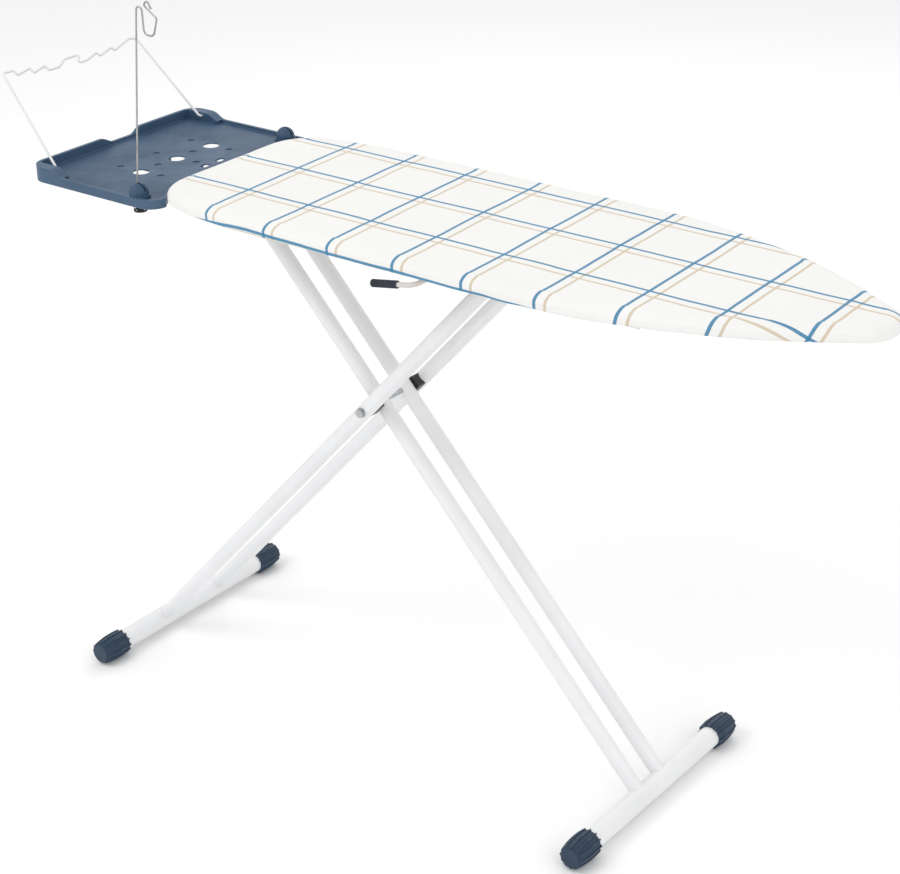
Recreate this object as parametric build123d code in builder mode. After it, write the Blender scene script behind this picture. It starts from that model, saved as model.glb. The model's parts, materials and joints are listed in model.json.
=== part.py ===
from build123d import *
import os
from math import cos, radians, sin, sqrt, tan

# Folding ironing board with an iron tray, a hanger rack and a cable guide.
# +X points to the nose, +Y across the board, +Z up. The origin is on the floor,
# under the middle of the whole board, tray and rack.

# ---------------------------------------------------------------- driving dimensions
board_top = 931.0          # height of the ironing surface above the floor
rear_edge_x = -435.85      # rear edge of the cover; the nose is at +795
half_width = 208.0

side_start_x = 230.0       # these X values are measured from the rear edge
side_end_x = 700.0
flank_radius = 763.0
flank_angle = 12.0
taper_radius = 870.0
taper_angle = 31.0
nose_radius = 60.0

cover_thickness = 1.0
cover_depth = 23.5
hem_width = 45.0
pad_thickness = 6.0
panel_thickness = 1.2
rim_depth = 11.7
rim_width = 7.0
brace_xs = (73.0, 240.0, 410.0, 587.0, 760.0, 890.0, 1060.0)
brace_width = 25.0
brace_depth = 10.0
sheet = 1.5                # thickness of the pressed steel strips
plate = 2.0                # thickness of the brackets and rails

leg_angle = 47.6           # between each leg and the floor when fully raised
upper_arm = 403.9          # from either top pivot to the crossing bolt
pivot_x = 73.0
pivot_drop = 44.0
tube_radius = 13.0
tube_wall = 1.5
front_tube_y = 32.0
rear_tube_y = 71.0
tube_end = 13.0            # how far a tube runs past its top pivot
foot_bar_radius = 18.0
foot_bar_half = 225.0
cap_radius = 23.5
cap_mouth_y = 180.0
cap_end_y = 236.0
rib_count = 12

axle_radius = 5.0
slide_bar_radius = 6.0
bolt_radius = 4.0
running = 0.06             # radial clearance of a shaft that turns in its hole
rail_y = 98.0
rail_start_x = 575.0
rail_end_x = 905.0

lever_x = 557.0
lever_drop = 35.0
lever_radius = 4.0

tray_rear_x = -265.0
tray_front_x = 22.0
tray_half_width = 197.0
tray_corner = 30.0
tray_floor = -22.0         # heights on the tray are measured from the board's top
tray_rim = -17.0
tray_lip = -6.0
tray_bottom = -32.5
tray_wall = 3.0
rod_y = 120.0
rod_radius = 4.0
rod_drop = 28.9

rack_x = -224.0
rack_drop = 12.0
rack_lean = 44.5
rack_wire = 2.25

dome_x = -26.0
dome_y = 178.0
dome_radius = 16.0
clip_radius = 11.0
post_x = dome_x - 3.5
post_drop = 10.0
post_wire = 1.5

# ---------------------------------------------------------------- worked-out positions
flank_x = side_start_x - flank_radius * sin(radians(flank_angle))
flank_y = half_width - flank_radius * (1 - cos(radians(flank_angle)))
corner_radius = flank_x / (1 - sin(radians(flank_angle)))
corner_y = flank_y - corner_radius * cos(radians(flank_angle))
taper_x = side_end_x + taper_radius * sin(radians(taper_angle))
taper_y = half_width - taper_radius * (1 - cos(radians(taper_angle)))
nose_x = taper_x + (taper_y * cos(radians(taper_angle)) - nose_radius) / sin(radians(taper_angle))

pad_top = -cover_thickness - 0.3
panel_top = pad_top - pad_thickness - 0.3
rim_top = panel_top - panel_thickness
rim_bottom = rim_top - rim_depth
brace_bottom = rim_top - brace_depth
plate_bottom = brace_bottom - plate

reach = cos(radians(leg_angle))
rise = sin(radians(leg_angle))
cross_x = pivot_x + upper_arm * reach
cross_drop = pivot_drop + upper_arm * rise
slide_x = pivot_x + 2 * upper_arm * reach
foot_drop = board_top - cap_radius
lower_arm = (foot_drop - cross_drop) / rise
front_foot_x = cross_x + lower_arm * reach
rear_foot_x = cross_x - lower_arm * reach
slide_travel = 2 * upper_arm * (cos(radians(2.0)) - reach)


def level(z):
    """Horizontal plane z above the ironing surface, with its x measured from the rear edge."""
    return Plane(origin=(rear_edge_x, 0, board_top + z))


def side(y):
    """Upright plane at y; its x runs along the board from the rear edge, its y is height over the top."""
    return Plane(origin=(rear_edge_x, y, board_top), x_dir=(1, 0, 0), z_dir=(0, -1, 0))


def point(x, y, z):
    return Vector(rear_edge_x + x, y, board_top + z)


def save(piece, label):
    piece.part.label = label
    export_step(piece.part, f"parts/{label}.step")


def board_outline(inset):
    """Plan of the board, moved inwards by inset."""
    nose_tangent = (nose_x + (nose_radius - inset) * sin(radians(taper_angle)),
                    (nose_radius - inset) * cos(radians(taper_angle)))
    taper_tangent = (side_end_x + (taper_radius - inset) * sin(radians(taper_angle)),
                     half_width - taper_radius + (taper_radius - inset) * cos(radians(taper_angle)))
    with BuildSketch() as plan:
        with BuildLine():
            Line((inset, 0), (inset, corner_y))
            CenterArc((corner_radius, corner_y), corner_radius - inset, 180, flank_angle - 90)
            CenterArc((side_start_x, half_width - flank_radius), flank_radius - inset,
                      90 + flank_angle, -flank_angle)
            Line((side_start_x, half_width - inset), (side_end_x, half_width - inset))
            CenterArc((side_end_x, half_width - taper_radius), taper_radius - inset, 90, -taper_angle)
            Line(taper_tangent, nose_tangent)
            CenterArc((nose_x, 0), nose_radius - inset, 90 - taper_angle, taper_angle - 90)
            mirror(about=Plane.XZ)
        make_face()
    return plan.sketch


def half_width_at(x):
    """Half width of the board's plan at a distance x from its rear edge."""
    if x < flank_x:
        return corner_y + sqrt(corner_radius**2 - (corner_radius - x) ** 2)
    if x < side_start_x:
        return half_width - flank_radius + sqrt(flank_radius**2 - (side_start_x - x) ** 2)
    if x < side_end_x:
        return half_width
    if x < taper_x:
        return half_width - taper_radius + sqrt(taper_radius**2 - (x - side_end_x) ** 2)
    return taper_y - (x - taper_x) * tan(radians(taper_angle))


def bar_across(x, z, radius, y_from, y_to):
    """Round bar that lies across the board from y_from to y_to."""
    with BuildPart() as bar:
        with BuildSketch(side(y_from)):
            with Locations((x, z)):
                Circle(radius)
        extrude(amount=y_from - y_to)
    return bar.part


def bent_wire(points, radii, radius):
    """Round wire bent through the points."""
    with BuildPart() as bent:
        with BuildLine() as path:
            FilletPolyline(*points, radius=radii)
        with BuildSketch(Plane(origin=path.line @ 0, z_dir=path.line % 0)):
            Circle(radius)
        sweep(path=path.line)
    return bent.part


# ---------------------------------------------------------------- cover, pad and top panel
with BuildPart() as cover_cavity:
    with BuildSketch(level(-cover_depth + cover_thickness)):
        add(board_outline(cover_thickness))
    extrude(amount=cover_depth - 2 * cover_thickness)
    fillet(cover_cavity.edges().group_by(Axis.Z)[-1], radius=7.0)
    fillet(cover_cavity.edges().group_by(Axis.Z)[0], radius=4.0)

with BuildPart() as cotton_cover:
    with BuildSketch(level(-cover_depth)):
        add(board_outline(0))
    extrude(amount=cover_depth)
    fillet(cotton_cover.edges().group_by(Axis.Z)[-1], radius=8.0)
    fillet(cotton_cover.edges().group_by(Axis.Z)[0], radius=5.0)
    add(cover_cavity.part, mode=Mode.SUBTRACT)
    with BuildSketch(level(-cover_depth)):
        add(board_outline(hem_width))
    extrude(amount=cover_thickness, mode=Mode.SUBTRACT)
save(cotton_cover, "cotton_cover")

with BuildPart() as foam_pad:
    with BuildSketch(level(pad_top - pad_thickness)):
        add(board_outline(3.0))
    extrude(amount=pad_thickness)
    fillet(foam_pad.edges().group_by(Axis.Z)[-1], radius=5.0)
save(foam_pad, "foam_pad")

diamond_pitch = 40.0
diamond_rows = range(-9, 10)
diamonds = []
for row in diamond_rows:
    diamond_y = row * diamond_pitch / 2
    for column in range(1, 31):
        diamond_x = (column + 0.5 * (row % 2)) * diamond_pitch
        if half_width_at(diamond_x + diamond_pitch / 2) > abs(diamond_y) + 24 and diamond_x < nose_x:
            diamonds.append((diamond_x, diamond_y))

with BuildPart() as mesh_panel:
    with BuildSketch(level(panel_top - panel_thickness)):
        add(board_outline(3.0))
        with Locations(*diamonds):
            Polygon((-17, 0), (0, -16), (17, 0), (0, 16), mode=Mode.SUBTRACT)
    extrude(amount=panel_thickness)
save(mesh_panel, "mesh_panel")

with BuildPart() as rim_frame:
    with BuildSketch(level(rim_bottom)):
        add(board_outline(2.5))
    extrude(amount=rim_depth)
    with BuildSketch(level(rim_bottom)):
        add(board_outline(2.5 + rim_width))
    extrude(amount=rim_depth, mode=Mode.SUBTRACT)
save(rim_frame, "rim_frame")

# Pressed channels across the underside, open upwards, from rim to rim.
with BuildPart() as cross_braces:
    for brace_x in brace_xs:
        edge_x = brace_x - brace_width / 2 if brace_x < side_start_x else brace_x + brace_width / 2
        brace_half = half_width_at(edge_x) - (3.0 + rim_width) / cos(radians(taper_angle))
        with BuildSketch(side(brace_half)):
            with Locations((brace_x, brace_bottom)):
                Rectangle(brace_width, brace_depth, align=(Align.CENTER, Align.MIN))
            with Locations((brace_x, brace_bottom + sheet)):
                Rectangle(brace_width - 2 * sheet, brace_depth, align=(Align.CENTER, Align.MIN),
                          mode=Mode.SUBTRACT)
        extrude(amount=2 * brace_half)
save(cross_braces, "cross_braces")

# ---------------------------------------------------------------- brackets and height rails
with BuildPart() as pivot_brackets:
    for sign in (-1, 1):
        with BuildSketch(level(plate_bottom)):
            with Locations((pivot_x, sign * 66.0)):
                Rectangle(44.0, 30.5)
        extrude(amount=plate)
        with BuildSketch(side(sign * 52.0)):
            with BuildLine():
                Polyline((pivot_x - 22, plate_bottom), (pivot_x - 11, -pivot_drop - 6),
                         (pivot_x - 11, -pivot_drop - 13), (pivot_x + 11, -pivot_drop - 13),
                         (pivot_x + 11, -pivot_drop - 6), (pivot_x + 22, plate_bottom),
                         (pivot_x + 22, plate_bottom + plate), (pivot_x - 22, plate_bottom + plate),
                         (pivot_x - 22, plate_bottom))
            make_face()
            with Locations((pivot_x, -pivot_drop)):
                Circle(axle_radius, mode=Mode.SUBTRACT)
        extrude(amount=1.25, both=True)
save(pivot_brackets, "pivot_brackets")

with BuildPart() as pivot_axle:
    add(bar_across(pivot_x, -pivot_drop, axle_radius, -57.0, 57.0))
save(pivot_axle, "pivot_axle")

with BuildPart() as axle_push_nuts:
    for y_from, y_to in ((-55.8, -53.3), (53.3, 55.8)):
        add(bar_across(pivot_x, -pivot_drop, 9.0, y_from, y_to))
        add(bar_across(pivot_x, -pivot_drop, axle_radius, y_from, y_to), mode=Mode.SUBTRACT)
save(axle_push_nuts, "axle_push_nuts")

slot_half = 8.6
slot_start_x = slide_x - 13.0
slot_end_x = slide_x + slide_travel + 13.0
notch_pitch = 44.0


def height_rail(sign):
    """One of the two slotted rails that carry the sliding end of the rear legs."""
    with BuildPart() as rail:
        with BuildSketch(level(plate_bottom)):
            with Locations((rail_start_x, sign * (rail_y - plate / 2))):
                Rectangle(rail_end_x - rail_start_x, sign * 18.0 if sign > 0 else 18.0,
                          align=(Align.MIN, Align.MIN if sign > 0 else Align.MAX))
        extrude(amount=plate)
        with BuildSketch(side(sign * rail_y)):
            with BuildLine():
                Polyline((rail_start_x, plate_bottom + plate), (rail_start_x, -62.0),
                         (rail_end_x - 24, -62.0), (rail_end_x, plate_bottom - 10),
                         (rail_end_x, plate_bottom + plate), (rail_start_x, plate_bottom + plate))
            make_face()
            with Locations(((slot_start_x + slot_end_x) / 2, -pivot_drop)):
                SlotOverall(slot_end_x - slot_start_x, 2 * slot_half, mode=Mode.SUBTRACT)
            notch_count = int((slot_end_x - slide_x - 12) / notch_pitch) + 1
            with Locations(*[(slide_x + i * notch_pitch, -pivot_drop + slot_half - 1)
                             for i in range(notch_count)]):
                RectangleRounded(13.0, 9.0, 3.0, mode=Mode.SUBTRACT)
        extrude(amount=plate / 2, both=True)
    return rail


save(height_rail(-1), "height_rail_near")
save(height_rail(1), "height_rail_far")

lever_bracket_ys = (-150.0, 24.0)
with BuildPart() as lever_brackets:
    for bracket_y in lever_bracket_ys:
        with BuildSketch(level(plate_bottom)):
            with Locations((lever_x - 11, bracket_y - plate / 2)):
                Rectangle(53.0, 18.0, align=(Align.MIN, Align.MIN))
        extrude(amount=plate)
        with BuildSketch(side(bracket_y)):
            with BuildLine():
                Polyline((lever_x - 11, plate_bottom + plate), (lever_x - 8, -lever_drop - 9),
                         (lever_x + 8, -lever_drop - 9), (lever_x + 14, plate_bottom + plate),
                         (lever_x - 11, plate_bottom + plate))
            make_face()
            with Locations((lever_x, -lever_drop)):
                Circle(lever_radius + running, mode=Mode.SUBTRACT)
        extrude(amount=plate / 2, both=True)
save(lever_brackets, "lever_brackets")

spring_coils = 7
spring_pitch = 2.2
with BuildPart() as lever_spring:
    with BuildLine() as coil:
        Helix(pitch=spring_pitch, height=spring_pitch * spring_coils, radius=6.0,
              center=point(lever_x, -61.0, -lever_drop), direction=(0, 1, 0))
    with BuildSketch(Plane(origin=coil.line @ 0, z_dir=coil.line % 0)):
        Circle(0.9)
    sweep()
save(lever_spring, "lever_spring")

# ---------------------------------------------------------------- legs


def leg_tube(foot_x, top_x, y, top_hole, crossing_hole):
    """Round leg tube from a foot bar to a top pivot, coped over the bar and drilled."""
    foot = point(foot_x, y, -foot_drop)
    top = point(top_x, y, -pivot_drop)
    length = (top - foot).length + tube_end
    with BuildPart() as tube:
        with BuildSketch(Plane(origin=foot, z_dir=top - foot)):
            Circle(tube_radius)
            Circle(tube_radius - tube_wall, mode=Mode.SUBTRACT)
        extrude(amount=length)
        add(bar_across(foot_x, -foot_drop, foot_bar_radius, y - 20, y + 20), mode=Mode.SUBTRACT)
        add(bar_across(top_x, -pivot_drop, top_hole, y - 20, y + 20), mode=Mode.SUBTRACT)
        add(bar_across(cross_x, -cross_drop, crossing_hole, y - 20, y + 20), mode=Mode.SUBTRACT)
    return tube


def foot_bar(foot_x):
    """Round bar that lies across under a pair of legs, a tube open at both ends."""
    with BuildPart() as bar:
        add(bar_across(foot_x, -foot_drop, foot_bar_radius, -foot_bar_half, foot_bar_half))
        add(bar_across(foot_x, -foot_drop, foot_bar_radius - tube_wall, -foot_bar_half, foot_bar_half),
            mode=Mode.SUBTRACT)
    return bar


def foot_cap(foot_x, sign):
    """Ribbed barrel-shaped plastic cap on one end of a foot bar."""
    centre = point(foot_x, 0, -foot_drop)
    rib_turns = [radians(360 / rib_count * i) for i in range(rib_count)]
    rib_planes = [Plane(origin=centre, x_dir=(0, sign, 0), z_dir=(cos(turn), 0, sin(turn)))
                  for turn in rib_turns]
    with BuildPart() as cap:
        with BuildSketch(rib_planes[0]):
            with BuildLine():
                mouth = Line((cap_mouth_y, foot_bar_radius), (cap_mouth_y, 20.8))
                barrel = ThreePointArc(mouth @ 1, (cap_mouth_y + 24, 21.8), (cap_end_y - 3, 18.8))
                Polyline(barrel @ 1, (cap_end_y, 17.0), (cap_end_y, 0), (foot_bar_half, 0),
                         (foot_bar_half, foot_bar_radius), mouth @ 0)
            make_face()
        revolve(axis=Axis(centre, (0, 1, 0)))
        with BuildSketch(*rib_planes):
            with BuildLine():
                back = Line((cap_mouth_y - 2, 19.2), (cap_mouth_y - 2, 22.3))
                ridge = ThreePointArc(back @ 1, (cap_mouth_y + 17.5, cap_radius), (cap_end_y - 1.5, 19.6))
                Polyline(ridge @ 1, (cap_end_y - 1.5, 15.0), (foot_bar_half + 1, 19.2), back @ 0)
            make_face()
        extrude(amount=1.3, both=True)
    return cap


def tube_plugs(foot_x, top_x, tube_y):
    """Plastic plugs that close the top ends of a pair of leg tubes."""
    with BuildPart() as plugs:
        for y in (-tube_y, tube_y):
            foot = point(foot_x, y, -foot_drop)
            top = point(top_x, y, -pivot_drop)
            direction = (top - foot).normalized()
            with BuildSketch(Plane(origin=top + direction * (tube_end - 5), z_dir=direction)):
                Circle(tube_radius - tube_wall)
            extrude(amount=5)
            with BuildSketch(Plane(origin=top + direction * tube_end, z_dir=direction)):
                Circle(tube_radius)
            extrude(amount=2.5)
    return plugs


bush_radius = 7.0
for name, y in (("front_tube_near", -front_tube_y), ("front_tube_far", front_tube_y)):
    save(leg_tube(front_foot_x, pivot_x, y, bush_radius, bolt_radius + running), name)
save(foot_bar(front_foot_x), "front_foot_bar")
save(foot_cap(front_foot_x, -1), "front_cap_near")
save(foot_cap(front_foot_x, 1), "front_cap_far")
save(tube_plugs(front_foot_x, pivot_x, front_tube_y), "front_tube_plugs")

with BuildPart() as pivot_bushes:
    for y in (-front_tube_y, front_tube_y):
        add(bar_across(pivot_x, -pivot_drop, bush_radius, y - 16, y + 16))
        add(bar_across(pivot_x, -pivot_drop, axle_radius + running, y - 16, y + 16), mode=Mode.SUBTRACT)
save(pivot_bushes, "pivot_bushes")

for name, y in (("rear_tube_near", -rear_tube_y), ("rear_tube_far", rear_tube_y)):
    save(leg_tube(rear_foot_x, slide_x, y, slide_bar_radius, bolt_radius), name)
save(foot_bar(rear_foot_x), "rear_foot_bar")
save(foot_cap(rear_foot_x, -1), "rear_cap_near")
save(foot_cap(rear_foot_x, 1), "rear_cap_far")
save(tube_plugs(rear_foot_x, slide_x, rear_tube_y), "rear_tube_plugs")

# ---------------------------------------------------------------- crossing bolt and spacers
tube_outer_y = rear_tube_y + tube_radius
washer = 1.5
bolt_flats = 13.0
hex_radius = bolt_flats / 2 / cos(radians(30))

with BuildPart() as cross_bolt:
    add(bar_across(cross_x, -cross_drop, bolt_radius, -tube_outer_y - washer, tube_outer_y + 12))
    with BuildSketch(side(-tube_outer_y - washer)):
        with Locations((cross_x, -cross_drop)):
            RegularPolygon(hex_radius, 6)
    extrude(amount=5.5)
save(cross_bolt, "cross_bolt")

with BuildPart() as bolt_washers:
    for y_from in (-tube_outer_y - washer, tube_outer_y):
        add(bar_across(cross_x, -cross_drop, 8.5, y_from, y_from + washer))
        add(bar_across(cross_x, -cross_drop, bolt_radius, y_from, y_from + washer), mode=Mode.SUBTRACT)
save(bolt_washers, "bolt_washers")

with BuildPart() as lock_nut:
    with BuildSketch(side(tube_outer_y + washer)):
        with Locations((cross_x, -cross_drop)):
            RegularPolygon(hex_radius, 6)
            Circle(bolt_radius, mode=Mode.SUBTRACT)
    extrude(amount=-8.0)
save(lock_nut, "lock_nut")


def saddle(sign):
    """Plastic spacer hollowed to sit on a rear tube, flat where the front tube turns against it."""
    inner_y = front_tube_y + tube_radius + 0.35
    foot = point(rear_foot_x, sign * rear_tube_y, -foot_drop)
    top = point(slide_x, sign * rear_tube_y, -pivot_drop)
    with BuildPart() as spacer:
        with BuildSketch(side(sign * inner_y)):
            with Locations(Location((cross_x, -cross_drop), leg_angle)):
                RectangleRounded(31.0, 22.0, 4.5)
        extrude(amount=-sign * 20.0)
        with BuildSketch(Plane(origin=foot, z_dir=top - foot)):
            Circle(tube_radius)
        extrude(amount=(top - foot).length, mode=Mode.SUBTRACT)
        add(bar_across(cross_x, -cross_drop, bolt_radius, sign * 30, sign * 80), mode=Mode.SUBTRACT)
    return spacer


save(saddle(-1), "saddle_near")
save(saddle(1), "saddle_far")

with BuildPart() as slide_bar:
    add(bar_across(slide_x, -pivot_drop, slide_bar_radius, -108.0, 108.0))
save(slide_bar, "slide_bar")

with BuildPart() as slide_shoes:
    for sign in (-1, 1):
        for radius, inner, outer in ((11.0, 93.0, 95.6), (8.0, 95.6, 100.4), (11.0, 100.4, 103.0)):
            add(bar_across(slide_x, -pivot_drop, radius, sign * inner, sign * outer))
        add(bar_across(slide_x, -pivot_drop, slide_bar_radius, sign * 93.0, sign * 103.0), mode=Mode.SUBTRACT)
save(slide_shoes, "slide_shoes")

# ---------------------------------------------------------------- height lever
grip_length = 49.0
lever_corner = point(lever_x, -202.0, -lever_drop)
lever_tip = point(lever_x - 75.0, -202.0, -lever_drop - 13.0)
grip_direction = (lever_tip - lever_corner).normalized()

with BuildPart() as lever_rod:
    add(bent_wire((point(lever_x, 30.0, -lever_drop), lever_corner, lever_tip), [14.0], lever_radius))
save(lever_rod, "lever_rod")

with BuildPart() as lever_grip:
    grip_start = Plane(origin=lever_tip - grip_direction * (grip_length - 4), z_dir=grip_direction)
    with BuildSketch(grip_start):
        Circle(5.6)
        with PolarLocations(5.3, 14):
            Circle(0.9)
    extrude(amount=grip_length)
    fillet(lever_grip.faces().sort_by(Axis.X)[0].edges(), radius=0.6)
    with BuildSketch(grip_start):
        Circle(lever_radius)
    extrude(amount=grip_length - 4, mode=Mode.SUBTRACT)
save(lever_grip, "lever_grip")

with BuildPart() as latch_pawl:
    with BuildSketch(side(6.0)):
        with Locations((lever_x, -lever_drop)):
            Circle(9.0)
        with BuildLine():
            Polyline((lever_x, -lever_drop + 5), (lever_x + 36, -39.0), (lever_x + 51, -39.5),
                     (lever_x + 51, -48.5), (lever_x + 34, -49.0), (lever_x, -lever_drop - 6),
                     (lever_x, -lever_drop + 5))
        make_face()
        with Locations((lever_x, -lever_drop)):
            Circle(lever_radius, mode=Mode.SUBTRACT)
    extrude(amount=12.0)
save(latch_pawl, "latch_pawl")

# ---------------------------------------------------------------- iron tray
boss_radius = 19.0
lip_end_x = tray_rear_x + 49.0
gap_near_y = -36.0
gap_far_y = 64.0
tray_depth = tray_floor - 2.6


def tray_outline(inset):
    """Plan of the tray: a rounded rectangle, moved inwards by inset."""
    with BuildSketch() as plan:
        with Locations(((tray_rear_x + tray_front_x) / 2, 0)):
            RectangleRounded(tray_front_x - tray_rear_x - 2 * inset, 2 * (tray_half_width - inset),
                             tray_corner - inset)
    return plan.sketch


def lip_sweep(start, length):
    """S-curve from the top of the lip down to the rim, drawn along a side of the tray."""
    ease = length * 0.45
    return Bezier((start, tray_lip), (start + ease, tray_lip), (start + length - ease, tray_rim),
                  (start + length, tray_rim))


with BuildPart() as front_hollow:
    with BuildSketch(level(-60.0)):
        add(board_outline(-3.0))
    extrude(amount=80.0)

with BuildPart() as board_side_wall:
    with BuildSketch(level(tray_bottom)):
        add(board_outline(-3.0 - tray_wall))
    extrude(amount=tray_rim - tray_bottom)

with BuildPart() as dish:
    with BuildSketch(level(tray_floor)):
        add(tray_outline(6.0))
    extrude(amount=40.0)
    fillet(dish.edges().group_by(Axis.Z)[0], radius=2.5)

with BuildPart() as tray_shell:
    with BuildSketch(level(tray_bottom)):
        add(tray_outline(0.0))
    extrude(amount=tray_rim - tray_bottom)
    # raised lips round both rear corners, and blocks in the corners for the rack's pins
    with BuildSketch(level(tray_rim - 2)):
        add(tray_outline(0.0))
    extrude(amount=tray_lip - tray_rim + 2)
    add(dish.part, mode=Mode.SUBTRACT)
    for sign in (-1, 1):
        with BuildSketch(level(tray_floor - 1)):
            with Locations((rack_x, sign * 186.0)):
                RectangleRounded(72.0, 16.0, 4.0)
        extrude(amount=tray_lip - tray_floor + 1)
    # the lips sweep down along both sides and into a low gap at the rear
    with BuildSketch(side(0)):
        with BuildLine():
            side_sweep = lip_sweep(lip_end_x, 34.0)
            Polyline(side_sweep @ 1, (60.0, tray_rim), (60.0, 20.0), (lip_end_x, 20.0), side_sweep @ 0)
        make_face()
    extrude(amount=220.0, both=True, mode=Mode.SUBTRACT)
    with BuildSketch(Plane(origin=point(tray_rear_x - 5, 0, 0), x_dir=(0, 1, 0), z_dir=(1, 0, 0))):
        with BuildLine():
            near_sweep = lip_sweep(gap_near_y, 35.0)
            far_sweep = lip_sweep(gap_far_y, -28.0)
            Polyline(near_sweep @ 1, far_sweep @ 1)
            Polyline(near_sweep @ 0, (gap_near_y, 20.0), (gap_far_y, 20.0), far_sweep @ 0)
        make_face()
    extrude(amount=20.0, mode=Mode.SUBTRACT)
    # hollow underside
    with BuildSketch(level(tray_bottom)):
        add(tray_outline(tray_wall))
        for sign in (-1, 1):
            with Locations((dome_x, sign * dome_y)):
                Circle(boss_radius - 2.5, mode=Mode.SUBTRACT)
    extrude(amount=tray_depth - tray_bottom, mode=Mode.SUBTRACT)
    # ribs under the floor
    for rib_y in (-60.0, 0.0, 60.0):
        with BuildSketch(level(tray_bottom + 2)):
            with Locations((tray_rear_x + 2, rib_y)):
                Rectangle(255.0, 2.0, align=(Align.MIN, Align.CENTER))
        extrude(amount=tray_depth - tray_bottom - 1)
    for rib_x in (-200.0, -40.0):
        with BuildSketch(level(tray_bottom + 2)):
            with Locations((rib_x, 0)):
                Rectangle(2.0, 2 * tray_half_width - 4)
        extrude(amount=tray_depth - tray_bottom - 1)
    # bosses for the swivelling domes
    for sign in (-1, 1):
        with BuildSketch(level(tray_floor - 1)):
            with Locations((dome_x, sign * dome_y)):
                Circle(boss_radius - 0.5)
        extrude(amount=tray_rim - tray_floor + 1)
    add(board_side_wall.part, mode=Mode.ADD)
    with BuildSketch(level(tray_bottom - 5)):
        add(tray_outline(0.0))
    extrude(amount=60.0, mode=Mode.INTERSECT)
    add(front_hollow.part, mode=Mode.SUBTRACT)
    for sign in (-1, 1):
        with BuildSketch(level(tray_bottom - 1)):
            with Locations((dome_x, sign * dome_y)):
                Circle(clip_radius + 0.08)
        extrude(amount=30.0, mode=Mode.SUBTRACT)
        add(bar_across(rack_x, -rack_drop, rack_wire + running, sign * 177.0, sign * 190.5),
            mode=Mode.SUBTRACT)
    # three steam holes, dimples, and two slots by the board
    with BuildSketch(level(tray_bottom - 1)):
        with Locations((-115, -85), (-115, 0), (-115, 85)):
            Circle(14.5)
        with Locations((-48, -1), (-48, 36)):
            RectangleRounded(12.0, 18.0, 3.0)
    extrude(amount=30.0, mode=Mode.SUBTRACT)
    with BuildSketch(level(tray_floor + 0.5)):
        with Locations((-163, -85), (-163, 0), (-163, 85), (-117, -42), (-117, 42),
                       (-73, -82), (-73, 4), (-73, 85)):
            Circle(6.0)
    extrude(amount=-1.7, mode=Mode.SUBTRACT)
    # channels for the two support rods
    for rod_sign in (-1, 1):
        with BuildSketch(Plane(origin=point(-206, rod_sign * rod_y, -rod_drop), x_dir=(0, 1, 0),
                               z_dir=(1, 0, 0))):
            Circle(rod_radius + 0.25)
        extrude(amount=300.0, mode=Mode.SUBTRACT)
save(tray_shell, "tray_shell")

screw_xs = (-180.0, -60.0)
with BuildPart() as tray_rods:
    for sign in (-1, 1):
        with BuildSketch(Plane(origin=point(-204, sign * rod_y, -rod_drop), x_dir=(0, 1, 0),
                               z_dir=(1, 0, 0))):
            Circle(rod_radius)
        extrude(amount=204.0 + brace_xs[1] + 20.0)
    with BuildSketch(level(-rod_drop - 10)):
        with Locations(*[(x, sign * rod_y) for x in screw_xs for sign in (-1, 1)]):
            Circle(1.9)
    extrude(amount=20.0, mode=Mode.SUBTRACT)
save(tray_rods, "tray_rods")

with BuildPart() as tray_screws:
    screw_places = [(x, sign * rod_y) for x in screw_xs for sign in (-1, 1)]
    with BuildSketch(level(-rod_drop - rod_radius - 2.4)):
        with Locations(*screw_places):
            Circle(4.0)
    extrude(amount=2.4)
    with BuildSketch(level(-rod_drop - rod_radius)):
        with Locations(*screw_places):
            Circle(1.9)
    extrude(amount=2 * rod_radius + 0.2)
save(tray_screws, "tray_screws")

with BuildPart() as rod_clamps:
    clamp_places = [(x, sign * rod_y) for x in brace_xs[:2] for sign in (-1, 1)]
    with BuildSketch(level(-rod_drop - rod_radius - 3)):
        with Locations(*clamp_places):
            RectangleRounded(24.0, 22.0, 3.0)
    extrude(amount=brace_bottom + rod_drop + rod_radius + 3)
    for sign in (-1, 1):
        with BuildSketch(Plane(origin=point(0, sign * rod_y, -rod_drop), x_dir=(0, 1, 0),
                               z_dir=(1, 0, 0))):
            Circle(rod_radius)
        extrude(amount=400.0, mode=Mode.SUBTRACT)
save(rod_clamps, "rod_clamps")

# ---------------------------------------------------------------- hanger rack
# Points on the rack's own plane: distance across the board, and distance up from its hinge.
rack_path = [(-188, 0), (-173, 0), (-153, 190), (-129, 189), (-127.5, 179), (-95, 184.5), (-94, 174),
             (-63.5, 180.5), (-62, 170.5), (-38, 170.5), (-17, 181.5), (21, 181), (-1, 167), (25, 167),
             (54.5, 175.5), (55.5, 167), (91, 176.5), (92, 168.5), (138, 182), (153, 178), (173, 0),
             (188, 0)]
rack_radii = [6, 6, 4, 4, 3.5, 4, 3.5, 4, 8, 10, 3.2, 3.2, 20, 3.5, 3.8, 3.5, 3.5, 14, 6, 6]

with BuildPart() as hanger_rack:
    rack_plane = Plane(origin=point(rack_x, 0, -rack_drop), x_dir=(0, 1, 0),
                       z_dir=(cos(radians(rack_lean)), 0, sin(radians(rack_lean))))
    rack_points = [rack_plane.from_local_coords(Vector(y, w, 0)) for y, w in rack_path]
    add(bent_wire(rack_points, rack_radii, rack_wire))
save(hanger_rack, "hanger_rack")

# ---------------------------------------------------------------- swivelling domes


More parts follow.
